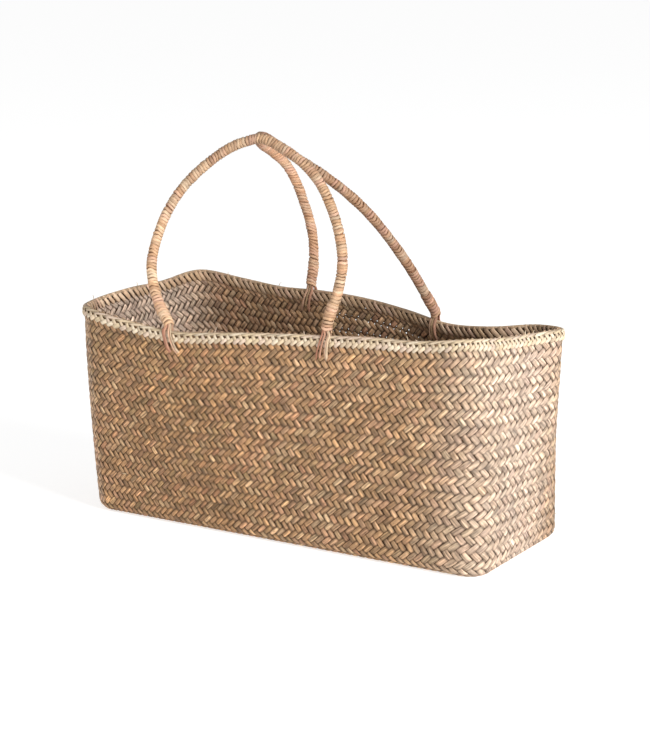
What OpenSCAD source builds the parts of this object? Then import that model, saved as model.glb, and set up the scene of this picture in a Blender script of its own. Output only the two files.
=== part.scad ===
// Seagrass storage basket: one bias-woven open body with a bound rim
// and two wrapped rope handles that hinge on strand ties at the rim.
// Units mm. X runs along the long side, -Y is the front wall, Z is up.
// Origin: on the floor, under the middle of the whole object.

/* [Body] */
// Outside length of the body just above the floor
body_length = 490; // [440:5:540]
// Outside depth of the body just above the floor
body_depth = 193; // [175:1:215]
// Mean height of the rim above the floor
body_height = 235; // [210:1:260]
// Plan radius of the four soft upright corners at the floor
corner_radius = 27; // [20:1:40]
// Radius of the soft edge between floor and wall
floor_radius = 12; // [9:1:16]
// Thickness of the two crossed layers of strands
weave_thickness = 4; // [3:0.5:5]

/* [Rim] */
// Height of the plaited band on the outside of the rim
plait_height = 11; // [9:0.5:14]
// How far the plaited band stands out from the weave
plait_thickness = 2.2; // [1.6:0.1:2.8]
// How far the folded edge stands above the weave
fold_height = 3; // [2:0.5:4]
// Height of the row of stitches on the inside of the rim
stitch_height = 12; // [9:0.5:14]
// How far the stitches stand in from the weave
stitch_thickness = 1.4; // [1:0.1:2]

/* [Handles] */
// Diameter of the finished handle over its wrapping
handle_diameter = 11; // [10:0.5:12]
// Diameter of the bundle of strands inside the wrapping
core_diameter = 7.6; // [6.5:0.1:8]
// Backward lean of the front handle at rest, in degrees
front_lean = 22; // [20:1:23]
// Height of the hinge line above the top of the rim
hinge_rise = 9.5; // [9:0.5:11]

/* [Detail] */
// Facets round the body
around = 96; // [72:24:120]
// Facets along each handle
along = 66; // [54:6:72]

/* [Hidden] */

kx = body_length / 490;
ky = body_depth / 193;
kz = body_height / 235;
// Sets the origin under the middle of the whole object
centring = [3, 14, 0];
base_centre = [-8 * kx + centring[0], 6 * ky + centring[1]];
base_start = -10;

// Top of the rim, 24 stations counter-clockwise from the front left corner
rim_pts = [for (p = [
    [-222, -124, 238], [-164, -124, 228], [-110, -118, 222], [-54, -112, 226],
    [0, -100, 229], [54, -90, 231], [106, -86, 234], [158, -81, 235],
    [209, -73, 241], [229, -42, 239], [240, 7, 236], [251, 58, 234],
    [210, 82, 230], [160, 73, 224], [108, 78, 221], [54, 85, 229],
    [0, 84, 237], [-54, 83, 240], [-108, 85, 239], [-162, 88, 243],
    [-218, 80, 249], [-243, 37, 240], [-248, -20, 240], [-258, -70, 234]])
    [p[0] * kx, p[1] * ky, p[2] * kz] + centring];

// Front handle: distance along the line between its feet, and rise in its own plane
front_pts = [[0, 0], [-10, 14], [-21, 36], [-27, 62], [-24, 90], [-15, 119], [0, 145], [22, 168],
    [48, 187], [72, 196], [88, 197], [112, 186], [136, 170], [155, 151], [170, 127], [183, 97],
    [190, 66], [188, 36], [182, 13], [180, 0]];
// Back handle: distance along the line between its feet, reach towards the front, rise
back_pts = [[0, 0, 0], [-1, -3, 18], [-6, -6, 43], [-13, -6, 65], [-21, -3, 85], [-28, 3, 105],
    [-36, 15, 126], [-43, 34, 141], [-44, 56, 152], [-35, 76, 162], [-18, 91, 167], [6, 100, 163],
    [32, 101, 154], [58, 94, 142], [82, 82, 126], [103, 66, 105], [121, 48, 79], [138, 28, 48],
    [152, 9, 16], [159, 0, 0]];

// Where the four handle feet stand on the rim, as a share of the way round
foot_fl = 0.0754;
foot_fr = 0.2104;
foot_bl = 0.7188;
foot_br = 0.5967;

// ---- helpers -------------------------------------------------------------
function unit(v) = v / norm(v);
function lerp(a, b, t) = a + (b - a) * t;

// Smooth closed curve through n points, u runs 0 to 1
function ring_at(P, u) =
    let (n = len(P), s = (u - floor(u)) * n, i = floor(s) % n, t = s - floor(s),
         a = P[(i + n - 1) % n], b = P[i], c = P[(i + 1) % n], d = P[(i + 2) % n])
    0.5 * (2 * b + (c - a) * t + (2 * a - 5 * b + 4 * c - d) * t * t + (3 * b - a - 3 * c + d) * t * t * t);

// Smooth open curve through n points, u runs 0 to 1
function open_at(P, u) =
    let (n = len(P), s = min(u, 0.99999) * (n - 1), i = floor(s), t = s - i,
         b = P[i], c = P[i + 1],
         a = i > 0 ? P[i - 1] : 2 * b - c,
         d = i < n - 2 ? P[i + 2] : 2 * c - b)
    0.5 * (2 * b + (c - a) * t + (2 * a - 5 * b + 4 * c - d) * t * t + (3 * b - a - 3 * c + d) * t * t * t);

// Rounded rectangle of the floor outline: [x, y, nx, ny] at a share u of the way round
function base_at(u) =
    let (r = corner_radius, q = PI * r / 2, sx = body_length - 2 * r, sy = body_depth - 2 * r,
         tot = 2 * (sx + sy) + 4 * q,
         s0 = base_start + u * tot, s = s0 - tot * floor(s0 / tot),
         lens = [sx, q, sy, q, sx, q, sy, q],
         e = [sx, sx + q, sx + q + sy, sx + 2 * q + sy, 2 * sx + 2 * q + sy, 2 * sx + 3 * q + sy, 2 * sx + 3 * q + 2 * sy, tot],
         k = s < e[0] ? 0 : s < e[1] ? 1 : s < e[2] ? 2 : s < e[3] ? 3 : s < e[4] ? 4 : s < e[5] ? 5 : s < e[6] ? 6 : 7,
         v = s - (k > 0 ? e[k - 1] : 0), a = v / r * 180 / PI,
         side = floor(k / 2), flat = k % 2 == 0,
         hx = side == 0 || side == 2 ? sx / 2 : sy / 2,
         hy = side == 0 || side == 2 ? sy / 2 : sx / 2,
         local = flat ? [-hx + v, -hy - r, 0, -1] : [hx + r * sin(a), -hy - r * cos(a), sin(a), -cos(a)],
         c = [1, 0, -1, 0][side], w = [0, 1, 0, -1][side])
    [base_centre[0] + c * local[0] - w * local[1], base_centre[1] + w * local[0] + c * local[1],
     c * local[2] - w * local[3], w * local[2] + c * local[3]];

// Outer face of the wall: t 0 is the top of the floor rounding, 1 the top of the weave
function wall_at(u, t) =
    let (b = base_at(u), r = ring_at(rim_pts, u), w = t)
    [lerp(b[0], r[0], w) + b[2] * 8 * t * (1 - t), lerp(b[1], r[1], w) + b[3] * 8 * t * (1 - t),
     lerp(floor_radius, r[2] - fold_height, w)];

// Outward level normal of the wall
function wall_n(u, t) = let (d = wall_at(u + 0.002, t) - wall_at(u - 0.002, t)) unit([d[1], -d[0], 0]);

// One ring of points on the wall, pushed out by off, lifted by dz
function wall_ring(t, off, dz = 0) =
    [for (k = [0 : around - 1]) let (u = k / around) wall_at(u, t) + wall_n(u, t) * off + [0, 0, dz]];

// One ring of points on the floor rounding at angle a (0 wall, 90 floor), inside by inset
function floor_ring(a, inset) =
    [for (k = [0 : around - 1]) let (u = k / around, b = base_at(u), r = floor_radius - inset)
        [b[0] - b[2] * (floor_radius - r * cos(a)), b[1] - b[3] * (floor_radius - r * cos(a)), floor_radius - r * sin(a)]];

// Faces of a strip between ring i and ring i + 1, each of n points
function strip(i, n, m) = [for (k = [0 : n - 1]) let (a = i * n + k, b = i * n + (k + 1) % n,
    c = ((i + 1) % m) * n + (k + 1) % n, d = ((i + 1) % m) * n + k) each [[a, c, b], [a, d, c]]];

// Solid skinned through rings, closed at both ends by flat faces
module skin_open(rings, n) {
    m = len(rings);
    polyhedron(points = [for (r = rings) each r],
        faces = concat([for (i = [0 : m - 2]) each strip(i, n, m)],
            [[for (k = [0 : n - 1]) k]], [[for (k = [n - 1 : -1 : 0]) (m - 1) * n + k]]), convexity = 10);
}

// Solid skinned through rings, the last ring joined to the first
module skin_loop(rings, n) {
    m = len(rings);
    polyhedron(points = [for (r = rings) each r],
        faces = [for (i = [0 : m - 1]) each strip(i, n, m)], convexity = 10);
}

// ---- body and rim --------------------------------------------------------
wall_levels = [0, 0.12, 0.26, 0.4, 0.54, 0.68, 0.82, 0.94, 1];
floor_angles = [90, 66, 44, 22];

module woven_body() color("tan")
    skin_open(concat(
        [for (a = floor_angles) floor_ring(a, 0)],
        [for (t = wall_levels) wall_ring(t, 0)],
        [for (k = [len(wall_levels) - 1 : -1 : 0]) wall_ring(wall_levels[k], -weave_thickness)],
        [for (k = [len(floor_angles) - 1 : -1 : 0]) floor_ring(floor_angles[k], weave_thickness)]), around);

// One ring of points on the wall, at a distance below the top of the weave
function band_ring(down, off) =
    [for (k = [0 : around - 1])
        let (u = k / around, t = 1 - down / (ring_at(rim_pts, u)[2] - fold_height - floor_radius))
        wall_at(u, t) + wall_n(u, t) * off];

// Band on the outer face, from the top of the weave downwards
module rim_outer_plait() color("wheat")
    skin_loop([band_ring(plait_height, 0.12), band_ring(plait_height - 1, plait_thickness),
        band_ring(1, plait_thickness), band_ring(0, 0.4), band_ring(0, 0.12)], around);

// Rounded fold that caps the top of the weave
module rim_folded_edge() color("wheat")
    skin_loop([wall_ring(1, 0.6, 0.1), wall_ring(1, 1, fold_height * 0.55), wall_ring(1, -0.8, fold_height),
        wall_ring(1, -weave_thickness + 0.8, fold_height), wall_ring(1, -weave_thickness - 1, fold_height * 0.55),
        wall_ring(1, -weave_thickness - 0.6, 0.1)], around);

// Stitches on the inner face, from the top of the weave downwards
module rim_inner_stitching() color("wheat")
    skin_loop([band_ring(0, -weave_thickness - 0.4), band_ring(1, -weave_thickness - stitch_thickness),
        band_ring(stitch_height - 1, -weave_thickness - stitch_thickness),
        band_ring(stitch_height, -weave_thickness - 0.12), band_ring(0, -weave_thickness - 0.12)], around);

// ---- handles -------------------------------------------------------------
// Hinge point of a foot: over the middle of the wall, above the rim
function foot(u) = wall_at(u, 1) + wall_n(u, 1) * (-weave_thickness / 2) + [0, 0, fold_height + hinge_rise];

function ax(a, b) = unit(foot(b) - foot(a));
function inward(a, b, s) = let (x = ax(a, b)) s * unit([x[1], -x[0], 0]);
function upward(a, b, s) = let (v = cross(ax(a, b), inward(a, b, s))) v[2] > 0 ? v : -v;

front_k = norm(foot(foot_fr) - foot(foot_fl)) / 180;
back_k = norm(foot(foot_br) - foot(foot_bl)) / 159;

function front_at(u) =
    let (p = open_at(front_pts, u) * front_k)
    foot(foot_fl) + ax(foot_fl, foot_fr) * p[0]
        + (upward(foot_fl, foot_fr, -1) * cos(front_lean) + inward(foot_fl, foot_fr, -1) * sin(front_lean)) * p[1];
function back_at(u) =
    let (p = open_at(back_pts, u) * back_k)
    foot(foot_bl) + ax(foot_bl, foot_br) * p[0] + inward(foot_bl, foot_br, 1) * p[1] + upward(foot_bl, foot_br, 1) * p[2];

front_side = cross(ax(foot_fl, foot_fr), upward(foot_fl, foot_fr, -1) * cos(front_lean) + inward(foot_fl, foot_fr, -1) * sin(front_lean));
back_side = unit([-0.06, -0.88, -0.46]);

front_path = [for (k = [0 : along]) front_at(k / along)];
back_path = [for (k = [0 : along]) back_at(k / along)];

// Point on a path at a distance from its start, and the total length
function reach(P) = [for (k = 0, d = 0; k < len(P); d = d + (k < len(P) - 1 ? norm(P[k + 1] - P[k]) : 0), k = k + 1) d];
function along_at(P, D, s, k = 0) = k >= len(P) - 2 || D[k + 1] >= s ? lerp(P[k], P[k + 1], (s - D[k]) / (D[k + 1] - D[k])) : along_at(P, D, s, k + 1);

front_reach = reach(front_path);
back_reach = reach(back_path);
front_len = front_reach[along];
back_len = back_reach[along];

// Ring of n points, radius r, round the path at distance s
function rope_ring(P, D, side, s, r, n) =
    let (L = D[len(D) - 1], c = along_at(P, D, s), f = along_at(P, D, min(L, s + 3)), b = along_at(P, D, max(0, s - 3)),
         t = unit(f - b), x = unit(cross(side, t)), y = cross(t, x))
    [for (k = [0 : n - 1]) c + (x * cos(360 * k / n) + y * sin(360 * k / n)) * r];

core_r = core_diameter / 2;
wrap_r = handle_diameter / 2;
wrap_start = 7;
whip_start = 11;
whip_length = 13;

// Bundle of strands with a rounded knuckle at each hinge point
module core(P, D, side) {
    L = D[len(D) - 1];
    n = 8;
    ends = [[-4.6, 1.6], [-3.6, 3.2], [-1.8, 4.4], [0, 4.8], [2, 4.4], [4.5, core_r]];
    skin_open(concat(
        [for (e = ends) [for (p = rope_ring(P, D, side, max(0, e[0]), e[1], n)) p + (e[0] < 0 ? unit(along_at(P, D, 2) - P[0]) * e[0] : [0, 0, 0])]],
        [for (k = [0 : along]) rope_ring(P, D, side, 8 + (L - 16) * k / along, core_r, n)],
        [for (j = [len(ends) - 1 : -1 : 0]) let (e = ends[j])
            [for (p = rope_ring(P, D, side, L - max(0, e[0]), e[1], n)) p + (e[0] < 0 ? unit(along_at(P, D, L - 2) - P[len(P) - 1]) * e[0] : [0, 0, 0])]]), n);
}

// Helical wrapping: a tube round the core
module wrapping(P, D, side) {
    L = D[len(D) - 1];
    n = 10;
    m = along;
    step = (L - 2 * wrap_start) / m;
    skin_loop(concat(
        [for (k = [0 : m]) rope_ring(P, D, side, wrap_start + step * k, k == 0 || k == m ? wrap_r - 0.8 : wrap_r, n)],
        [for (k = [m : -1 : 0]) rope_ring(P, D, side, wrap_start + step * k, core_r / cos(180 / n) + 0.12, n)]), n);
}

// Tight turns of strand that finish the wrapping near a foot
module whipping(P, D, side, from) {
    n = 14;
    m = 5;
    skin_loop(concat(
        [for (k = [0 : m]) rope_ring(P, D, side, from + whip_length * k / m, k == 0 || k == m ? wrap_r + 0.3 : wrap_r + 0.9, n)],
        [for (k = [m : -1 : 0]) rope_ring(P, D, side, from + whip_length * k / m, wrap_r + 0.12, n)]), n);
}

// Loop of strands over the rim and through the wall below it, at a foot,
// leaning along the rim by an angle
module tie(u, lean) {
    top = wall_at(u, 1) + [0, 0, fold_height];
    low = wall_at(u, 0.8) + [0, 0, fold_height * 0.8];
    n = wall_n(u, 1);
    tilt = atan2((top - low) * n, top[2] - low[2]);
    translate(top) rotate([0, 0, atan2(n[1], n[0])]) rotate([0, tilt, 0]) rotate([lean, 0, 0])
        rotate([90, 0, 0]) linear_extrude(height = 9, center = true) difference() {
            tie_outline(2.6);
            tie_outline(0);
        }
}
module tie_outline(grow) {
    x0 = -weave_thickness - stitch_thickness - 0.7 - grow;
    x1 = plait_thickness + 0.6 + grow;
    y1 = 0.6 + grow;
    y0 = -26 - grow;
    polygon([[x0 + 2.2, y1], [x1 - 2.2, y1], [x1 - 0.7, y1 - 0.7], [x1, y1 - 2.2], [x1, y0 + 2.2], [x1 - 2.2, y0],
        [x0 + 2.2, y0], [x0, y0 + 2.2], [x0, y1 - 2.2], [x0 + 0.7, y1 - 0.7]]);
}

module front_handle_core() color("peru") core(front_path, front_reach, front_side);
module front_handle_wrapping() color("burlywood") wrapping(front_path, front_reach, front_side);
module front_handle_left_whipping() color("burlywood") whipping(front_path, front_reach, front_side, whip_start);
module front_handle_right_whipping() color("burlywood") whipping(front_path, front_reach, front_side, front_len - whip_start - whip_length);
module front_handle_left_tie() color("rosybrown") tie(foot_fl, 24);
module front_handle_right_tie() color("rosybrown") tie(foot_fr, -8);
module back_handle_core() color("peru") core(back_path, back_reach, back_side);
module back_handle_wrapping() color("burlywood") wrapping(back_path, back_reach, back_side);
module back_handle_left_whipping() color("burlywood") whipping(back_path, back_reach, back_side, whip_start);
module back_handle_right_whipping() color("burlywood") whipping(back_path, back_reach, back_side, back_len - whip_start - whip_length);
module back_handle_left_tie() color("rosybrown") tie(foot_bl, 8);
module back_handle_right_tie() color("rosybrown") tie(foot_br, 0);

woven_body();
rim_folded_edge();
rim_outer_plait();
rim_inner_stitching();
front_handle_core();
front_handle_wrapping();
front_handle_left_whipping();
front_handle_right_whipping();
front_handle_left_tie();
front_handle_right_tie();
back_handle_core();
back_handle_wrapping();
back_handle_left_whipping();
back_handle_right_whipping();
back_handle_left_tie();
back_handle_right_tie();
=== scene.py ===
import math

import bpy
import numpy as np
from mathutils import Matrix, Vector


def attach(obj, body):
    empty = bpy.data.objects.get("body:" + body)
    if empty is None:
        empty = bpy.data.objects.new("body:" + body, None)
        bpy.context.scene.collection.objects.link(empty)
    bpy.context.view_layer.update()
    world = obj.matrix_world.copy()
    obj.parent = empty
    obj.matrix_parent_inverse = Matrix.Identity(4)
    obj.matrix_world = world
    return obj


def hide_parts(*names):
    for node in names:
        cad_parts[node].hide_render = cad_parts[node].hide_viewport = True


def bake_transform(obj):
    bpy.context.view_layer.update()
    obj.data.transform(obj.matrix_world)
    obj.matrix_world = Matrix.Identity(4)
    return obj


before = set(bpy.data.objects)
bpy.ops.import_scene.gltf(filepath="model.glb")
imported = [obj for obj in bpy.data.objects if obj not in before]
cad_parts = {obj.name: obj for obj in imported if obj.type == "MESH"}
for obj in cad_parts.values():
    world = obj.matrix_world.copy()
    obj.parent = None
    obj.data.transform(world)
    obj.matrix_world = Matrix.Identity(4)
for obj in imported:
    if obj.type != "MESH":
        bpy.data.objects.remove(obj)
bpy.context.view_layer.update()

MM = 0.001
rng = np.random.default_rng(11)

# ---------------------------------------------------------------- shape of the body
# Everything below is in millimetres, in the frame of the CAD part.
SHIFT = np.array([3.0, 14.0, 0.0])
RIM = np.array([
    (-222, -124, 238), (-164, -124, 228), (-110, -118, 222), (-54, -112, 226), (0, -100, 229), (54, -90, 231),
    (106, -86, 234), (158, -81, 235), (209, -73, 241), (229, -42, 239), (240, 7, 236), (251, 58, 234),
    (210, 82, 230), (160, 73, 224), (108, 78, 221), (54, 85, 229), (0, 84, 237), (-54, 83, 240),
    (-108, 85, 239), (-162, 88, 243), (-218, 80, 249), (-243, 37, 240), (-248, -20, 240), (-258, -70, 234)], float) + SHIFT
LENGTH, DEPTH, CORNER, FLOOR_R = 490.0, 193.0, 27.0, 12.0
CENTRE = np.array([-8.0, 6.0]) + SHIFT[:2]
START_S = -10.0
THICK, FOLD, PLAIT_T = 4.0, 3.0, 2.2
FOOT = {"fl": 0.0754, "fr": 0.2104, "bl": 0.7188, "br": 0.5967}

M = 53                  # crossings up the wall
HK = 4.05               # mm per crossing on the floor rounding
K0 = -FLOOR_R * math.pi / 2 / HK


def ring_at(P, u):
    n = len(P)
    s = (np.asarray(u, float) % 1.0) * n
    i = np.floor(s).astype(int)
    t = (s - i)[..., None]
    a, b, c, d = P[(i - 1) % n], P[i % n], P[(i + 1) % n], P[(i + 2) % n]
    return 0.5 * (2 * b + (c - a) * t + (2 * a - 5 * b + 4 * c - d) * t ** 2 + (3 * b - a - 3 * c + d) * t ** 3)


def base_at(u):
    """Rounded rectangle of the floor outline and its outward normal."""
    r, q = CORNER, math.pi * CORNER / 2
    sx, sy = LENGTH - 2 * r, DEPTH - 2 * r
    lens = [sx, q, sy, q, sx, q, sy, q]
    total = sum(lens)
    s = (START_S + np.asarray(u, float) * total) % total
    p = np.zeros(s.shape + (2,))
    nrm = np.zeros(s.shape + (2,))
    lo = 0.0
    for k, ln in enumerate(lens):
        m = (s >= lo) & ((s < lo + ln) if k < 7 else (s <= total + 1))
        v = s[m] - lo
        side, flat = k // 2, k % 2 == 0
        hx = (sx if side in (0, 2) else sy) / 2
        hy = (sy if side in (0, 2) else sx) / 2
        if flat:
            lx, ly, nx, ny = -hx + v, np.full_like(v, -hy - r), np.zeros_like(v), -np.ones_like(v)
        else:
            a = v / r
            lx, ly, nx, ny = hx + r * np.sin(a), -hy - r * np.cos(a), np.sin(a), -np.cos(a)
        c, w = (1, 0, -1, 0)[side], (0, 1, 0, -1)[side]
        p[m] = np.stack([c * lx - w * ly, w * lx + c * ly], -1)
        nrm[m] = np.stack([c * nx - w * ny, w * nx + c * ny], -1)
        lo += ln
    return p + CENTRE, nrm


def skin(u, k):
    """Outer face of the cloth. u is the share of the way round, k counts crossings up from the top of the floor rounding."""
    u, k = np.broadcast_arrays(np.asarray(u, float), np.asarray(k, float))
    b, n = base_at(u)
    r = ring_at(RIM, u)
    t = np.clip(k, 0, None) / M
    bulge = (8 * t * (1 - t))[..., None]
    xy = b * (1 - t)[..., None] + r[..., :2] * t[..., None] + n * bulge
    z = FLOOR_R * (1 - t) + (r[..., 2] - FOLD) * t
    a = np.clip(-k * HK / FLOOR_R, 0, math.pi / 2)
    beyond = np.clip(-k * HK - FLOOR_R * math.pi / 2, 0, None)
    xy = xy - n * (FLOOR_R * (1 - np.cos(a)) + beyond)[..., None]
    z = z - FLOOR_R * np.sin(a)
    return np.concatenate([xy, z[..., None]], -1)


def skin_normal(u, k):
    du, dk = 0.0012, 0.35
    a = skin(u + du, k) - skin(u - du, k)
    b = skin(u, k + dk) - skin(u, k - dk)
    n = np.cross(a, b)
    return n / np.linalg.norm(n, axis=-1, keepdims=True)


def on_skin(u, k, off):
    return skin(u, k) + skin_normal(u, k) * np.asarray(off, float)[..., None]


def drop_k(u, down):
    """k of the place a number of mm below the top of the weave."""
    h = ring_at(RIM, u)[..., 2] - FOLD - FLOOR_R
    return M * (1 - np.asarray(down, float) / h)


# The strands are closer together on the left of the front wall than round the right end
_u = np.linspace(0, 1, 1201)
_mid = skin(_u, np.full_like(_u, M * 0.5))
_len = np.r_[0, np.linalg.norm(np.diff(_mid, axis=0), axis=1)]
_pitch = np.interp(_u, [0, 0.05, 0.15, 0.22, 0.30, 0.345, 0.38, 0.44, 0.50, 0.56, 0.75, 0.90, 0.96, 1.0],
                   [7.2, 7.1, 7.8, 8.1, 8.3, 9.2, 10.4, 10.4, 8.6, 8.0, 8.0, 8.0, 7.6, 7.2])
_count = np.cumsum(_len / _pitch)
N = int(round(_count[-1]))   # strands of each direction round the body
_count = _count / _count[-1] * N
UX = 4.05                    # mm per lattice unit round the body


def round_at(x):
    """Share of the way round for a lattice coordinate; two units to a strand."""
    c = np.asarray(x, float) / 2
    turn = np.floor(c / N)
    return np.interp(c - turn * N, _count, _u) + turn


# ---------------------------------------------------------------- smooth noise
class Waves:
    """Smooth seeded noise in one or two variables, about -1 to 1."""

    def __init__(self, seed, dims, scale, count=14):
        g = np.random.default_rng(seed)
        self.w = g.normal(size=(count, dims)) / scale
        self.p = g.uniform(0, 2 * math.pi, count)
        self.n = count

    def __call__(self, *x):
        s = 0.0
        for i in range(self.n):
            s = s + np.sin(sum(self.w[i, j] * x[j] for j in range(len(x))) + self.p[i])
        return s / math.sqrt(self.n / 2) / 1.6


# ---------------------------------------------------------------- meshes
def srgb(r, g, b):
    c = np.array([r, g, b], float) / 255
    return np.where(c <= 0.04045, c / 12.92, ((c + 0.055) / 1.055) ** 2.4)


def ribbons(name, V, tint, along, mat, columns=1, cap=True):
    """One mesh of strands. V (strands, sections, points round, 3) in mm, tint the same with 4 channels,
    along (strands, sections) is the distance along each strand in mm."""
    S, m, n, _ = V.shape
    idx = np.arange(S * m * n).reshape(S, m, n)
    a = idx[:, :-1, :]
    b = idx[:, 1:, :]
    quads = np.stack([a, np.roll(a, -1, 2), np.roll(b, -1, 2), b], -1).reshape(-1, 4)
    j = np.arange(n)
    al0 = np.broadcast_to(along[:, :-1, None], (S, m - 1, n))
    al1 = np.broadcast_to(along[:, 1:, None], (S, m - 1, n))
    r0 = np.broadcast_to(j / n, (S, m - 1, n))
    r1 = np.broadcast_to((j + 1) / n, (S, m - 1, n))
    uv = np.stack([np.stack([al0, al0, al1, al1], -1) * 0.01, np.stack([r0, r1, r1, r0], -1)], -1).reshape(-1, 2)
    frac = (along - along[:, :1]) / np.maximum(along[:, -1:] - along[:, :1], 1e-6)
    f0 = np.broadcast_to(frac[:, :-1, None], (S, m - 1, n))
    f1 = np.broadcast_to(frac[:, 1:, None], (S, m - 1, n))
    rows = -(-S // columns)
    row = (np.arange(S) // columns)[:, None, None]
    col = (np.arange(S) % columns)[:, None, None]
    bu = np.stack([f0, f0, f1, f1], -1) * 0.994 + 0.003
    bv = np.stack([r0, r1, r1, r0], -1) * 0.92 + 0.04
    bake = np.stack([(col[..., None] + bu) / columns, (row[..., None] + bv) / rows], -1).reshape(-1, 2)
    if cap:
        caps, cuv, cbk = [], [], []
        for sec, flip in ((0, False), (m - 1, True)):
            e = idx[:, sec, :]
            fr = frac[:, sec]
            for q in range(n // 2 - 1):
                ring = [q if q else 0, q + 1, n - 2 - q, n - 1 - q]
                ring = [x % n for x in ring]
                if not flip:
                    ring = ring[::-1]
                caps.append(e[:, ring])
                rr_ = np.array(ring) / n
                cuv.append(np.stack([np.broadcast_to(along[:, sec, None] * 0.01, (S, 4)), np.broadcast_to(rr_, (S, 4))], -1))
                cbk.append(np.stack([(col[:, 0] + (fr[:, None] * 0.994 + 0.003)) / columns + np.zeros((S, 4)),
                                     (row[:, 0] + rr_ * 0.92 + 0.04) / rows], -1))
        quads = np.concatenate([quads] + caps)
        uv = np.concatenate([uv] + [c.reshape(-1, 2) for c in cuv])
        bake = np.concatenate([bake] + [c.reshape(-1, 2) for c in cbk])
    me = bpy.data.meshes.new(name)
    nv, nf = S * m * n, len(quads)
    me.vertices.add(nv)
    me.vertices.foreach_set("co", (V.reshape(-1, 3) * MM).astype(np.float32).ravel())
    me.loops.add(nf * 4)
    # outward faces: the volume of the whole mesh is positive
    P = V.reshape(-1, 3) - V.reshape(-1, 3).mean(0)
    A, B, C, D = (P[quads[:, i]] for i in range(4))
    vol = (np.einsum("ij,ij->i", A, np.cross(B, C)) + np.einsum("ij,ij->i", A, np.cross(C, D))).sum()
    if vol < 0:
        quads = quads[:, ::-1]
        uv = uv.reshape(-1, 4, 2)[:, ::-1].reshape(-1, 2)
        bake = bake.reshape(-1, 4, 2)[:, ::-1].reshape(-1, 2)
    me.loops.foreach_set("vertex_index", np.ascontiguousarray(quads, np.int32).ravel())
    me.polygons.add(nf)
    me.polygons.foreach_set("loop_start", np.arange(0, nf * 4, 4, dtype=np.int32))
    me.update(calc_edges=True)
    me.polygons.foreach_set("use_smooth", np.ones(nf, bool))
    layer = me.uv_layers.new(name="fibre")
    layer.data.foreach_set("uv", uv.astype(np.float32).ravel())
    layer = me.uv_layers.new(name="OFBake")
    layer.data.foreach_set("uv", bake.astype(np.float32).ravel())
    at = me.attributes.new("tint", "FLOAT_COLOR", "POINT")
    at.data.foreach_set("color", tint.reshape(-1, 4).astype(np.float32).ravel())
    me.materials.append(mat)
    ob = bpy.data.objects.new(name, me)
    bpy.context.scene.collection.objects.link(ob)
    return ob


def lens(n):
    """Cross-section of a flat strand: across -1 to 1, and thickness -1 to 1."""
    if n == 8:
        return (np.array([-1, -0.62, 0, 0.62, 1, 0.62, 0, -0.62]), np.array([0, 0.8, 1, 0.8, 0, -0.8, -1, -0.8]))
    return (np.array([-1, -0.5, 0.5, 1, 0.5, -0.5]), np.array([0, 0.92, 0.92, 0, -0.92, -0.92]))


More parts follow.
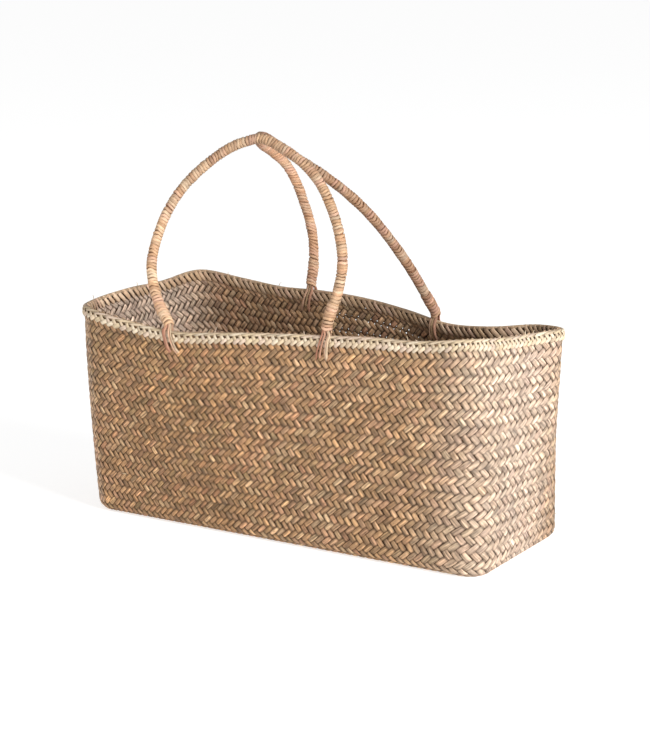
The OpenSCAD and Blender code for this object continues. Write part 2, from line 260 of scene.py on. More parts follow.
# ---------------------------------------------------------------- materials
def fibre_material(name, fine=1.0, streak=0.35, bump=0.35, rough=0.62, blotch=0.25, sheen=0.0, dark=(0.10, 0.055, 0.025)):
    m = bpy.data.materials.new(name)
    m.use_nodes = True
    nt = m.node_tree
    nt.nodes.clear()
    L = nt.links.new

    def node(kind, **kw):
        x = nt.nodes.new(kind)
        for k, v in kw.items():
            setattr(x, k, v)
        return x

    out = node("ShaderNodeOutputMaterial")
    bsdf = node("ShaderNodeBsdfPrincipled")
    L(bsdf.outputs[0], out.inputs[0])
    tint = node("ShaderNodeAttribute", attribute_name="tint", attribute_type="GEOMETRY")
    uv = node("ShaderNodeUVMap", uv_map="fibre")
    sep = node("ShaderNodeSeparateXYZ")
    L(uv.outputs[0], sep.inputs[0])

    # position in the strand: x along, y across, z the strand's own seed
    def place(sx, sy, sz):
        c = node("ShaderNodeCombineXYZ")
        L(sep.outputs[0], c.inputs[0])
        L(sep.outputs[1], c.inputs[1])
        L(tint.outputs["Alpha"], c.inputs[2])
        mp = node("ShaderNodeMapping")
        mp.inputs["Scale"].default_value = (sx, sy, sz)
        L(c.outputs[0], mp.inputs[0])
        return mp

    fine_place = place(7.0, 17.0 * fine, 61.0)
    fibres = node("ShaderNodeTexNoise")
    fibres.inputs["Scale"].default_value = 1.0
    fibres.inputs["Detail"].default_value = 3.0
    fibres.inputs["Roughness"].default_value = 0.6
    L(fine_place.outputs[0], fibres.inputs["Vector"])
    broad_place = place(14.0, 2.0, 37.0)
    broad = node("ShaderNodeTexNoise")
    broad.inputs["Scale"].default_value = 1.0
    broad.inputs["Detail"].default_value = 4.0
    L(broad_place.outputs[0], broad.inputs["Vector"])

    fr = node("ShaderNodeMapRange")
    fr.inputs["From Min"].default_value = 0.28
    fr.inputs["From Max"].default_value = 0.72
    fr.inputs["To Min"].default_value = 1.0 - streak
    fr.inputs["To Max"].default_value = 1.0 + streak * 0.55
    L(fibres.outputs[0], fr.inputs["Value"])
    br = node("ShaderNodeMapRange")
    br.inputs["From Min"].default_value = 0.3
    br.inputs["From Max"].default_value = 0.7
    br.inputs["To Min"].default_value = 1.0 - blotch
    br.inputs["To Max"].default_value = 1.0 + blotch * 0.6
    L(broad.outputs[0], br.inputs["Value"])
    mul = node("ShaderNodeMath", operation="MULTIPLY")
    L(fr.outputs[0], mul.inputs[0])
    L(br.outputs[0], mul.inputs[1])
    scale = node("ShaderNodeVectorMath", operation="SCALE")
    L(tint.outputs["Color"], scale.inputs[0])
    L(mul.outputs[0], scale.inputs["Scale"])

    # dull brown stains where the plant was scarred
    stain_place = place(22.0, 5.0, 91.0)
    stain = node("ShaderNodeTexNoise")
    stain.inputs["Scale"].default_value = 1.0
    stain.inputs["Detail"].default_value = 5.0
    L(stain_place.outputs[0], stain.inputs["Vector"])
    sr = node("ShaderNodeMapRange")
    sr.inputs["From Min"].default_value = 0.60
    sr.inputs["From Max"].default_value = 0.78
    sr.inputs["To Min"].default_value = 0.0
    sr.inputs["To Max"].default_value = 0.7
    L(stain.outputs[0], sr.inputs["Value"])
    mix = node("ShaderNodeMix", data_type="RGBA", blend_type="MIX")
    L(sr.outputs[0], mix.inputs["Factor"])
    L(scale.outputs[0], mix.inputs["A"])
    mix.inputs["B"].default_value = (*dark, 1)
    L(mix.outputs["Result"], bsdf.inputs["Base Color"])

    rg = node("ShaderNodeMapRange")
    rg.inputs["From Min"].default_value = 0.3
    rg.inputs["From Max"].default_value = 0.7
    rg.inputs["To Min"].default_value = rough - 0.1
    rg.inputs["To Max"].default_value = rough + 0.16
    L(broad.outputs[0], rg.inputs["Value"])
    L(rg.outputs[0], bsdf.inputs["Roughness"])
    bsdf.inputs["Specular IOR Level"].default_value = 0.32
    if sheen:
        bsdf.inputs["Sheen Weight"].default_value = sheen
    bp = node("ShaderNodeBump")
    bp.inputs["Strength"].default_value = bump
    bp.inputs["Distance"].default_value = 0.00025
    L(fibres.outputs[0], bp.inputs["Height"])
    L(bp.outputs[0], bsdf.inputs["Normal"])
    return m


MAT_WEAVE = fibre_material("seagrass_weave", fine=1.0, streak=0.8, blotch=0.26, bump=1.0)
MAT_PALE = fibre_material("pale_seagrass", fine=1.0, streak=0.28, blotch=0.14, rough=0.66, dark=(0.26, 0.19, 0.11))
MAT_WRAP = fibre_material("handle_wrap", fine=0.8, streak=0.3, blotch=0.24, rough=0.58, dark=(0.16, 0.07, 0.03))
MAT_TIE = fibre_material("strand_bundle", fine=0.9, streak=0.36, blotch=0.3, rough=0.62)

PALETTE = np.array([
    srgb(192, 150, 112), srgb(178, 146, 108), srgb(202, 158, 114), srgb(198, 152, 124), srgb(174, 144, 118),
    srgb(216, 188, 154), srgb(192, 136, 106), srgb(176, 150, 108), srgb(188, 154, 122)])
SHARE = np.array([0.22, 0.12, 0.16, 0.13, 0.10, 0.07, 0.04, 0.07, 0.09])
# painted light: the pale colour of strands where the light falls strongest
KEY_LIT_PALE = srgb(230, 209, 193)


def strand_colours(S, runs, spread=0.13):
    """A base colour for each strand, and a slowly changing tone for each of its visible runs."""
    base = PALETTE[rng.choice(len(PALETTE), size=S, p=SHARE / SHARE.sum())]
    other = PALETTE[rng.choice(len(PALETTE), size=(S, runs), p=SHARE / SHARE.sum())]
    keep = rng.uniform(0.35, 1.0, (S, runs, 1))
    c = base[:, None, :] * keep + other * (1 - keep)
    c = 0.45 * PALETTE.mean(0) + 0.55 * c
    return c * np.exp(rng.normal(0, spread, (S, runs, 1)))


# ---------------------------------------------------------------- the weave
A_H = 1.02        # how far a strand rises and dives, mm
HALF = 0.86       # half thickness of a strand, mm
SHEAR = 0.16
row_noise = Waves(3, 2, np.array([[34.0, 30.0]]))
bulge_noise = Waves(4, 2, np.array([[26.0, 20.0]]))


def lattice(p, q):
    """Round-the-body and up-the-wall coordinates of a place on the cloth."""
    return p + q + SHEAR * (q - p), q - p


def float_height(a):
    """Height of a strand a crossings past the start of a run on top; on top for 0 and 1, below for 2 and 3."""
    return np.clip(1.7 * np.cos(math.pi / 2 * (a - 0.5)), -1, 1)


def weave(direction, first, count, samples):
    """Strands of one direction. direction +1 rises to the right seen from outside."""
    strand = first + np.arange(count)
    lo, hi = K0 - 1.4, M + 0.3
    n = 8
    across, thick = lens(n)
    a0 = np.floor(lo / 2) * 2 - 0.5
    base = np.array(samples)
    ks = (a0 + 2 * np.arange(int((hi - a0) / 2) + 2)[:, None] + base[None, :]).ravel()
    ks = np.unique(np.clip(ks, lo, hi))
    m = len(ks)
    width = 1 + rng.normal(0, 0.035, (count, 1))
    phase = rng.uniform(0, 40, (count, 1))
    wob = Waves(21 if direction > 0 else 22, 2, np.array([[7.0, 1.0]]))
    K = np.broadcast_to(ks, (count, m))
    wobble = 0.045 * wob(K, phase * 9)
    h = float_height(K if direction > 0 else K)
    if direction < 0:
        h = -h
    lift = np.abs(np.cos(math.pi / 2 * (K - 0.5)))
    end = np.clip(lift * 1.5, 0, 1) ** 0.7
    if direction > 0:
        w = 0.5 * (0.93 + 0.13 * end) * width
        rise = h * A_H + 0.10
        ht = HALF * (0.82 + 0.2 * end)
    else:
        w = 0.5 * (0.92 + 0.06 * end) * width
        rise = h * A_H - 0.08
        ht = HALF * (0.86 + 0.14 * end)
    # strands are a little narrower in one patch of the back wall, where light shows through
    x0, k0 = lattice(strand[:, None] + 0 * K if direction > 0 else strand[:, None] - K, strand[:, None] + K if direction > 0 else strand[:, None] + 0 * K)
    worn = np.exp(-((round_at(x0) % 1.0 - 0.656) / 0.045) ** 6 - (((M - k0) * HK - 25) / 22) ** 6)
    w = w * (1 - 0.14 * worn * rng.uniform(0, 1, (count, 1)))
    # the section is cut along the other direction
    lat = across[None, None, :] * w[..., None] + wobble[..., None]
    if direction > 0:
        p = strand[:, None, None] + lat
        q = strand[:, None, None] + K[..., None] + 0 * lat
        q = q + lat * 0.0
    else:
        q = strand[:, None, None] + lat
        p = strand[:, None, None] - K[..., None] + 0 * lat
    x, k = lattice(p, q)
    k = np.clip(k, K0 - 2.2, M + 0.8)
    roll = 0.20 * across if direction > 0 else 0.34 * across
    crease = 1 - 0.22 * rng.uniform(0, 1, (count, 1, 1)) * (np.abs(across) < 0.3)
    off = -THICK / 2 + rise[..., None] + thick[None, None, :] * ht[..., None] * crease + roll * np.sign(h)[..., None] * 0.8 * np.abs(h)[..., None]
    xs = x + 0.22 * row_noise(np.cos(x / N * math.pi) * 70, k) * np.clip(k / 6, 0, 1)
    kk = k + 0.30 * row_noise(k + 100, np.sin(x / N * math.pi) * 70) * np.clip(k / 8, 0, 1) * np.clip((M - k) / 6, 0, 1)
    off = off + 0.35 * bulge_noise(np.cos(x / N * math.pi) * 60 + 40 * np.sin(x / N * math.pi), k) * np.clip((M - k) / 10, 0, 1) * np.clip(k / 6, 0, 1)
    off = np.where(k < 0, np.minimum(off, -0.05), off)
    V = on_skin(round_at(xs), kk, off)
    # colour: one tone for each run on a face, changed where the strand is hidden
    runs = int(np.floor((hi - lo) / 2)) + 4
    col = strand_colours(count, runs)
    which = np.clip(np.floor((K + 0.5) / 2).astype(int) - int(np.floor((lo + 0.5) / 2)), 0, runs - 1)
    c = np.take_along_axis(col, which[..., None], 1)
    # painted shade: the top two crossings of the weave, under the rim plait, are darkened
    shade = 1 - 0.55 * np.clip(1 - (M - K) / 2.2, 0, 1)
    # painted light: the right end and its corner, which face the key light, are paled towards a lit colour
    turn = (round_at(x[:, :, 0]) - 0.385 + 0.5) % 1.0 - 0.5
    key_light = (0.50 * np.exp(-(turn / 0.075) ** 4))[..., None]
    c = c * (1 - key_light) + KEY_LIT_PALE * key_light * (1 + 0.12 * rng.normal(size=key_light.shape))
    # the front is darker than the rest, most of all at its left: partly its own browner colour, partly painted shade
    # falling off away from the key light on the right
    front = (round_at(x[:, :, 0]) % 1.0)[..., None]
    c = c * (1 - np.array([0.10, 0.13, 0.20]) * np.exp(-((front - 0.18) / 0.19) ** 6))
    c = c * (1 - np.array([0.10, 0.14, 0.20]) * np.exp(-((front - 0.07) / 0.10) ** 4))
    # painted light: the left end, at 0.905 round, is paled towards the lit colour; painted shade: the back wall near
    # the right end, at 0.53 round, is darkened
    pale = np.exp(-((front - 0.905) / 0.08) ** 4)
    c = (c * (1 - 0.5 * pale) + KEY_LIT_PALE * 0.60 * pale) * (1 - 0.22 * np.exp(-((front - 0.53) / 0.07) ** 4))
    c = c * shade[..., None]
    if direction < 0:
        c = c * 0.95
    tint = np.empty((count, m, n, 4))
    # painted light and shade in the slots: each strand lighter on one side and darker on the other, painted shade along
    # both edges, darkest on the left edge of the falling strands, and where a strand dives under its neighbours
    if direction > 0:
        side_and_slot_shade = np.where(np.abs(across) > 0.9, 0.72, np.where(across < 0, 0.93, 1.03))
    else:
        side_and_slot_shade = np.where(across < -0.9, 0.20, np.where(across > 0.9, 0.74, np.where(across < 0, 0.84, 1.09)))
    # less painted shade along the edges where the right end is painted lit
    side_and_slot_shade = side_and_slot_shade + (0.88 - side_and_slot_shade) * np.clip(key_light * 1.3, 0, 1) * (np.abs(across) > 0.9)
    dive_shade = 0.46 + 0.54 * np.clip(np.abs(h) * 1.25, 0, 1)
    fibres = np.exp(rng.normal(0, 0.19, (count, runs, n)))
    fibres = np.take_along_axis(fibres, np.broadcast_to(which[..., None], (count, m, n)), 1)
    tint[..., :3] = c[:, :, None, :] * 0.97 * (side_and_slot_shade * fibres)[..., None] * dive_shade[:, :, None, None]
    tint[..., 3] = rng.uniform(0, 10, (count, 1, 1))
    along = K * math.hypot(HK, UX * (1 + SHEAR * direction))
    return V, tint, along + phase * 10


SAMPLES = (0.0, 0.32, 0.75, 1.25, 1.68)
PARTS = 5
pieces = []
for direction, label in ((1, "rising"), (-1, "falling")):
    for part in range(PARTS):
        first = part * N // PARTS
        count = (part + 1) * N // PARTS - first
        V, tint, along = weave(direction, first, count, SAMPLES)
        ob = ribbons(f"weave_{label}_{part + 1}", V, tint, along, MAT_WEAVE)
        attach(ob, "basket")
        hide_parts("woven_body")
        pieces.append(ob)


def shadow_core():
    """Not a real layer: a thin dark sheet in the middle of the wall, painted shade that stands for the depth of the
    slots between strands.
    It is left out of the patch where light comes through."""
    rows = np.arange(0, M - 1, 2)
    S, m = len(rows), 421
    down = (M - rows - 1) * HK
    worn = (down > 4) & (down < 46)
    span = np.where(worn, 1 - 0.086, 1.0)
    uu = 0.700 + np.linspace(0, 1, m)[None, :] * span[:, None]
    V = np.empty((S, m, 4, 3))
    xa = uu * 2 * math.pi
    for j, (dk, d_off) in enumerate(((-0.02, 0.05), (2.02, 0.05), (2.02, -0.05), (-0.02, -0.05))):
        kk = np.broadcast_to(rows[:, None] + dk, uu.shape)
        off = np.full(uu.shape, -THICK / 2 + d_off)
        V[:, :, j] = on_skin(uu, kk, off)
    tint = np.empty((S, m, 4, 4))
    tint[..., :3] = srgb(92, 62, 40)
    tint[..., 3] = 1.7
    ob = ribbons("weave_shade_sheet", V, tint, uu * 1310.0, MAT_WEAVE)
    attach(ob, "basket")
    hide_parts("woven_body")
    pieces.append(ob)


shadow_core()


def floor_mat(direction):
    """Strands of the floor, clipped to the floor outline inside the rounding."""
    n = 6
    across, thick = lens(n)
    cell = 4.1
    hx, hy = LENGTH / 2 - FLOOR_R, DEPTH / 2 - FLOOR_R
    r = CORNER - FLOOR_R

    def inside(x, y):
        dx, dy = np.abs(x) - (hx - r), np.abs(y) - (hy - r)
        d = np.hypot(np.clip(dx, 0, None), np.clip(dy, 0, None)) + np.minimum(np.maximum(dx, dy), 0) - r
        return d < 2.0

    reach = int((hx + hy) / cell) + 4
    ids, spans = [], []
    fine = np.arange(-reach * 2, reach * 2, 0.1)
    for s in range(-reach, reach):
        if direction > 0:
            p, q = s, fine
        else:
            p, q = fine, s
        x, y = (p + q) * cell, (q - p) * cell
        ok = inside(x, y)
        if ok.sum() > 12:
            ids.append(s)
            spans.append((fine[ok].min(), fine[ok].max()))
    ids = np.array(ids)
    spans = np.array(spans)
    m = 2 * int(np.max(spans[:, 1] - spans[:, 0])) + 3
    f = np.linspace(0, 1, m)
    run = spans[:, :1] + (spans[:, 1:] - spans[:, :1]) * f[None, :]
    S = len(ids)
    a = (run - ids[:, None]) if direction > 0 else (ids[:, None] - run)
    h = float_height(a) * (1 if direction > 0 else -1)
    end = np.clip(np.abs(np.cos(math.pi / 2 * (a - 0.5))) * 1.5, 0, 1)
    w = 0.5 * (0.88 + 0.12 * end)
    lat = across[None, None, :] * w[..., None]
    if direction > 0:
        p = ids[:, None, None] + lat
        q = run[..., None] + 0 * lat
    else:
        q = ids[:, None, None] + lat
        p = run[..., None] + 0 * lat
    x, y = (p + q) * cell + CENTRE[0], (q - p) * cell + CENTRE[1]
    z = 2.0 + h[..., None] * 0.95 + thick[None, None, :] * 0.85
    V = np.stack([x, y, z + 0 * x], -1)
    runs = int(a.max() - a.min()) // 2 + 4
    col = strand_colours(S, runs)
    which = np.clip(np.floor((a - a.min() + 0.5) / 2).astype(int), 0, runs - 1)
    c = np.take_along_axis(col, which[..., None], 1)
    tint = np.empty((S, m, n, 4))
    tint[..., :3] = c[:, :, None, :] * 0.9
    tint[..., 3] = rng.uniform(0, 10, (S, 1, 1))
    return V, tint, run * cell * 1.41


for direction, label in ((1, "rising"), (-1, "falling")):
    V, tint, along = floor_mat(direction)
    ob = ribbons(f"floor_{label}", V, tint, along, MAT_WEAVE)
    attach(ob, "basket")
    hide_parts("woven_body")
    pieces.append(ob)

# ---------------------------------------------------------------- rim
CREAM = np.array([srgb(212, 190, 162), srgb(204, 182, 150), srgb(218, 200, 174), srgb(200, 178, 150), srgb(210, 186, 164)])


def strokes(count, t0, span, m, n, path, half_w, half_t, mat, name, palette, node, columns=8, jitter=0.10, taper=0.35):
    """Short flat strands laid on the skin at even steps round the rim. path(f) gives along mm, down mm, off mm."""
    across, thick = lens(n)
    f = np.linspace(0, 1, m)
    sx, dn, of = path(f)
    u0 = (t0 + np.arange(count) / count)[:, None]
    js = rng.normal(0, jitter * 2.2, (count, 1))
    per = 1310.0
    cu = u0 + (sx[None, :] + js) / per
    cd = dn[None, :] + rng.normal(0, jitter * 1.4, (count, 1))
    co_ = of[None, :] + rng.normal(0, jitter * 0.6, (count, 1))
    dx = np.gradient(sx)
    dd = np.gradient(dn)
    ln = np.hypot(dx, dd) + 1e-9
    px, pd = dd / ln, -dx / ln
    w = half_w * (1 - taper * np.abs(2 * f - 1) ** 3)[None, :] * (1 + rng.normal(0, jitter * 0.6, (count, 1)))
    U = cu[..., None] + px[None, :, None] * across * w[..., None] / per
    D = cd[..., None] + pd[None, :, None] * across * w[..., None]
    O = co_[..., None] + thick * half_t * np.sin(math.pi * np.clip(f, 0.06, 0.94))[None, :, None] ** 0.4
    V = on_skin(U, drop_k(U, D), O)
    tint = np.empty(V.shape[:3] + (4,))
    c = palette[rng.integers(len(palette), size=count)] * np.exp(rng.normal(0, 0.07, (count, 1)))
    # painted light: strokes round the left end, at 0.905 round, are lighter; painted shade: each stroke is darker
    # towards its edges
    c = c * (1 + 0.28 * np.exp(-((u0 % 1.0 - 0.905) / 0.08) ** 4))
    tint[..., :3] = c[:, None, None, :] * (1 - 0.12 * np.abs(across) ** 3)[None, None, :, None]
    tint[..., 3] = rng.uniform(0, 10, (count, 1, 1))
    along = np.broadcast_to(np.r_[0, np.cumsum(np.hypot(np.diff(sx), np.diff(dn)))], (count, m)) + rng.uniform(0, 400, (count, 1))
    ob = ribbons(name, V, tint, along, mat, columns=columns)
    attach(ob, "basket")
    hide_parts(node)
    pieces.append(ob)
    return ob


def seq(*v):
    """A smooth path through a few evenly spaced values."""
    v = np.array(v, float)
    return lambda f: np.interp(f, np.linspace(0, 1, len(v)), v) if len(v) < 3 else _spline(v, f)


def _spline(v, f):
    P = np.r_[2 * v[0] - v[1], v, 2 * v[-1] - v[-2]]
    s = np.clip(np.asarray(f) * (len(v) - 1), 0, len(v) - 1 - 1e-9)
    i = s.astype(int)
    t = s - i
    a, b, c, d = P[i], P[i + 1], P[i + 2], P[i + 3]
    return 0.5 * (2 * b + (c - a) * t + (2 * a - 5 * b + 4 * c - d) * t ** 2 + (3 * b - a - 3 * c + d) * t ** 3)


# lip: long overlapping strands that lean over the top from the outside to the inside
def lip():
    count, m, n = 100, 9, 8
    across, thick = lens(n)
    f = np.linspace(0, 1, m)
    per = 1310.0
    u = (np.arange(count) / count)[:, None] + (rng.normal(0, 0.8, (count, 1)) + (f * 33.0)[None, :]) / per
    cen = on_skin(u, drop_k(u, 0 * u), 0 * u)
    un = u + 0.001
    T = on_skin(un, drop_k(un, 0 * un), 0 * un) - cen
    T /= np.linalg.norm(T, axis=-1, keepdims=True)
    Nn = np.stack([T[..., 1], -T[..., 0], 0 * T[..., 0]], -1)
    Nn /= np.linalg.norm(Nn, axis=-1, keepdims=True)
    Z = np.cross(Nn, T)
    Z = Z * np.sign(Z[..., 2:3])
    ang = np.radians(8 + 164 * f)[None, :] + rng.normal(0, 0.05, (count, 1))   # from the outer face over the top
    rx, rz = 2.95, 1.9
    c = cen + Nn * (-THICK / 2 + rx * np.cos(ang))[..., None] + Z * (0.55 + rz * np.sin(ang))[..., None]
    nrm = Nn * np.cos(ang)[..., None] * rz + Z * np.sin(ang)[..., None] * rx
    nrm /= np.linalg.norm(nrm, axis=-1, keepdims=True)
    side = -Nn * np.sin(ang)[..., None] * rx + Z * np.cos(ang)[..., None] * rz
    side /= np.linalg.norm(side, axis=-1, keepdims=True)
    w = 1.75 * (1 - 0.45 * np.abs(2 * f - 1) ** 4)[None, :] * (1 + rng.normal(0, 0.06, (count, 1)))
    V = (c[:, :, None, :] + side[:, :, None, :] * (across * w[..., None])[..., None]
         + nrm[:, :, None, :] * (thick * 0.62 * (1 - 0.3 * np.abs(2 * f - 1) ** 4)[None, :, None])[..., None])
    tint = np.empty(V.shape[:3] + (4,))
    col = CREAM[rng.integers(len(CREAM), size=count)] * np.exp(rng.normal(0, 0.06, (count, 1)))
    tint[..., :3] = col[:, None, None, :] * (1 - np.array([0.34, 0.44, 0.50]) * np.clip((f - 0.42) / 0.2, 0, 1)[:, None])[None, :, None, :]
    tint[..., 3] = rng.uniform(0, 10, (count, 1, 1))
    along = np.broadcast_to(f * 34.0, (count, m)) + rng.uniform(0, 400, (count, 1))
    ob = ribbons("rim_lip_strands", V, tint, along, MAT_PALE, columns=5)
    # a filler strand under them closes the top
    S2, m2 = 1, 401
    uu = np.linspace(0, 1, m2)[None, :]
    cc = on_skin(uu, drop_k(uu, 0 * uu), 0 * uu)
    d2 = on_skin(uu + 0.001, drop_k(uu + 0.001, 0 * uu), 0 * uu) - cc
    d2 /= np.linalg.norm(d2, axis=-1, keepdims=True)
    N2 = np.stack([d2[..., 1], -d2[..., 0], 0 * d2[..., 0]], -1)
    N2 /= np.linalg.norm(N2, axis=-1, keepdims=True)
    an = 2 * math.pi * np.arange(8) / 8
    V2 = (cc[:, :, None, :] + N2[:, :, None, :] * (-THICK / 2 + 2.5 * np.cos(an))[None, None, :, None]
          + np.array([0, 0, 1.0]) * (0.5 + 1.45 * np.sin(an))[None, None, :, None])
    t2 = np.empty(V2.shape[:3] + (4,))
    # painted shade: the filler is darker than the lip strands, standing for the shade in the gaps between them
    t2[..., :3] = CREAM[1] * 0.55
    t2[..., 3] = 3.3
    ob2 = ribbons("rim_lip_filler", V2, t2, uu * 1310.0, MAT_PALE, cap=False)
    for o in (ob, ob2):
        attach(o, "basket")
        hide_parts("rim_folded_edge")
        pieces.append(o)


lip()
# outer plait: upper strokes fall to the right, lower strokes rise to the right under them
strokes(188, 0.0, 1, 6, 8, lambda f: (seq(0.2, 1.5, 2.8, 4.2)(f), seq(-1.2, 0.9, 2.9, 4.9)(f), seq(0.3, 1.3, 1.6, 0.8)(f)),
        1.72, 0.62, MAT_PALE, "rim_plait_upper", CREAM, "rim_outer_plait", taper=0.1, jitter=0.08)
strokes(188, 0.0022, 1, 7, 8, lambda f: (seq(5.0, 3.2, 1.3, -0.6, -2.2)(f), seq(2.9, 4.0, 5.3, 6.8, 8.3)(f), seq(0.8, 1.6, 1.75, 1.4, 0.4)(f)),
        2.25, 0.66, MAT_PALE, "rim_plait_lower", CREAM, "rim_outer_plait", taper=0.2, jitter=0.09)
# inner face: long slanted stitches with gaps between them
strokes(180, 0.0, 1, 8, 8, lambda f: (seq(7.6, 6.6, 4.2, 1.6, -0.8)(f), seq(-3.5, -0.6, 2.8, 6.0, 9.0)(f), seq(-3.3, -5.35, -5.4, -5.0, -3.8)(f)),
        2.35, 0.62, MAT_PALE, "rim_inner_stitches", CREAM * np.array([0.88, 0.76, 0.70]), "rim_inner_stitching", taper=0.3, jitter=0.13)

# ---------------------------------------------------------------- handles
FRONT_PTS = np.array([[0, 0], [-10, 14], [-21, 36], [-27, 62], [-24, 90], [-15, 119], [0, 145], [22, 168], [48, 187],
                      [72, 196], [88, 197], [112, 186], [136, 170], [155, 151], [170, 127], [183, 97], [190, 66],
                      [188, 36], [182, 13], [180, 0]], float)
BACK_PTS = np.array([[0, 0, 0], [-1, -3, 18], [-6, -6, 43], [-13, -6, 65], [-21, -3, 85], [-28, 3, 105], [-36, 15, 126],
                     [-43, 34, 141], [-44, 56, 152], [-35, 76, 162], [-18, 91, 167], [6, 100, 163], [32, 101, 154],
                     [58, 94, 142], [82, 82, 126], [103, 66, 105], [121, 48, 79], [138, 28, 48], [152, 9, 16],
                     [159, 0, 0]], float)
LEAN = math.radians(22)


def wall_level_normal(u):
    d = skin(u + 0.002, M + 0 * u) - skin(u - 0.002, M + 0 * u)
    n = np.stack([d[..., 1], -d[..., 0], 0 * d[..., 0]], -1)
    return n / np.linalg.norm(n, axis=-1, keepdims=True)


def foot(u):
    u = np.array([u])
    return (skin(u, np.array([float(M)])) - wall_level_normal(u) * (THICK / 2))[0] + np.array([0, 0, FOLD + 9.5])


def frame_of(a, b, s):
    x = (b - a) / np.linalg.norm(b - a)
    q = s * np.array([x[1], -x[0], 0.0])
    q /= np.linalg.norm(q)
    v = np.cross(x, q)
    return x, q, v * np.sign(v[2])


def open_curve(P, per=24):
    P = np.vstack([2 * P[0] - P[1], P, 2 * P[-1] - P[-2]])
    m = len(P) - 3
    s = np.linspace(0, m - 1e-9, m * per)
    i = s.astype(int)
    t = (s - i)[:, None]
    a, b, c, d = P[i], P[i + 1], P[i + 2], P[i + 3]
    return 0.5 * (2 * b + (c - a) * t + (2 * a - 5 * b + 4 * c - d) * t ** 2 + (3 * b - a - 3 * c + d) * t ** 3)


FL, FR, BL, BR = (foot(FOOT[k]) for k in ("fl", "fr", "bl", "br"))
x, q, v = frame_of(FL, FR, -1)
c2 = open_curve(FRONT_PTS) * np.linalg.norm(FR - FL) / 180
FRONT_PATH = FL + c2[:, :1] * x + c2[:, 1:] * (v * math.cos(LEAN) + q * math.sin(LEAN))
FRONT_SIDE = np.cross(x, v * math.cos(LEAN) + q * math.sin(LEAN))
x, q, v = frame_of(BL, BR, 1)
c3 = open_curve(BACK_PTS) * np.linalg.norm(BR - BL) / 159
BACK_PATH = BL + c3[:, :1] * x + c3[:, 1:2] * q + c3[:, 2:] * v
BACK_SIDE = np.array([-0.06, -0.88, -0.46])
BACK_SIDE /= np.linalg.norm(BACK_SIDE)


class Rope:
    def __init__(self, path, side):
        self.P = path
        self.d = np.r_[0, np.cumsum(np.linalg.norm(np.diff(path, axis=0), axis=1))]
        self.L = self.d[-1]
        self.side = side

    def at(self, s):
        s = np.asarray(s, float)
        c = np.stack([np.interp(s, self.d, self.P[:, i]) for i in range(3)], -1)
        lo = np.clip(s - 3, 0, self.L - 6)
        hi = lo + 6
        a = np.stack([np.interp(lo, self.d, self.P[:, i]) for i in range(3)], -1)
        b = np.stack([np.interp(hi, self.d, self.P[:, i]) for i in range(3)], -1)
        t = b - a
        t /= np.linalg.norm(t, axis=-1, keepdims=True)
        out = s - np.clip(s, 0, self.L)
        stand = t * 0.45 + np.array([0, 0, 0.55]) * np.sign(t[..., 2:3])
        c = c + stand / np.linalg.norm(stand, axis=-1, keepdims=True) * out[..., None]
        X = np.cross(self.side, t)
        X /= np.linalg.norm(X, axis=-1, keepdims=True)
        return c, t, X, np.cross(t, X)


GOLD = np.array([srgb(208, 168, 132), srgb(212, 176, 142), srgb(202, 160, 122), srgb(214, 170, 142), srgb(194, 150, 116),
                 srgb(218, 188, 156)])
# pink tint of the back handle, with painted shade that darkens it
PINK_AND_SHADE = np.array([0.76, 0.71, 0.71])


def helix(rope, name, start, stop, pitch, radius, half_w, half_t, seed, hand=1, gaps=(), shade=None):
    """A flat strand wound round the rope, each turn tucked under the next."""
    g = np.random.default_rng(seed)
    n = 8
    across, thick = lens(n)
    turns = int((stop - start) / pitch)
    per = 22
    m = turns * per + 1
    th = np.arange(m) / per
    jitter = np.interp(th, np.arange(turns + 2), g.normal(0, 0.38, turns + 2))
    s = start + (stop - start) * th / turns + jitter
    for at, wide in gaps:
        s = s + wide * 0.5 * np.tanh((s - at) / 1.2) * np.exp(-((s - at) / 14.0) ** 2)
    s = np.clip(s, start - 0.5, stop + 0.5)
    r = radius + np.interp(th, np.arange(turns + 2), g.normal(0, 0.16, turns + 2))
    ang = 2 * math.pi * th * hand
    w = half_w * (1 + np.interp(th, np.arange(turns + 2), g.normal(0, 0.09, turns + 2)))
    # a slant along the rope makes each turn's crease lean
    lean = (1.8 + 0.6 * np.sin(th * 0.9)) * np.sin(ang + 0.6) + 0.35 * np.sin(3 * ang + th)
    S_ = s[:, None] + lean[:, None] + across[None, :] * w[:, None]
    S_ = np.clip(S_, start - 1.2, stop + 1.2)
    c, t, X, Y = rope.at(S_)
    R = r[:, None] + thick[None, :] * half_t - 0.22 * across[None, :]
    V = c + (X * np.cos(ang)[:, None, None] + Y * np.sin(ang)[:, None, None]) * R[..., None]
    V = V[None]
    tone = g.normal(0, 0.07, turns + 2)
    pick = GOLD[g.integers(len(GOLD), size=turns + 2)]
    i = np.clip(th.astype(int), 0, turns)
    fth = (th - i)[:, None]
    col = (pick[i] * (1 - fth) + pick[i + 1] * fth) * np.exp(np.interp(th, np.arange(turns + 2), tone))[:, None]
    if shade is not None:
        col = col * shade(s)
    tint = np.empty((1, m, n, 4))
    # painted shade in the creases: each turn darker towards its edges, most at the edge tucked under the next turn
    tint[..., :3] = col[None, :, None, :] * (1 - 0.24 * np.clip(across, 0, 1) ** 2 - 0.12 * np.clip(-across, 0, 1) ** 2)[None, None, :, None]
    tint[..., 3] = seed * 0.37
    return ribbons(name, V, tint, (th * 2 * math.pi * radius)[None, :], MAT_WRAP)


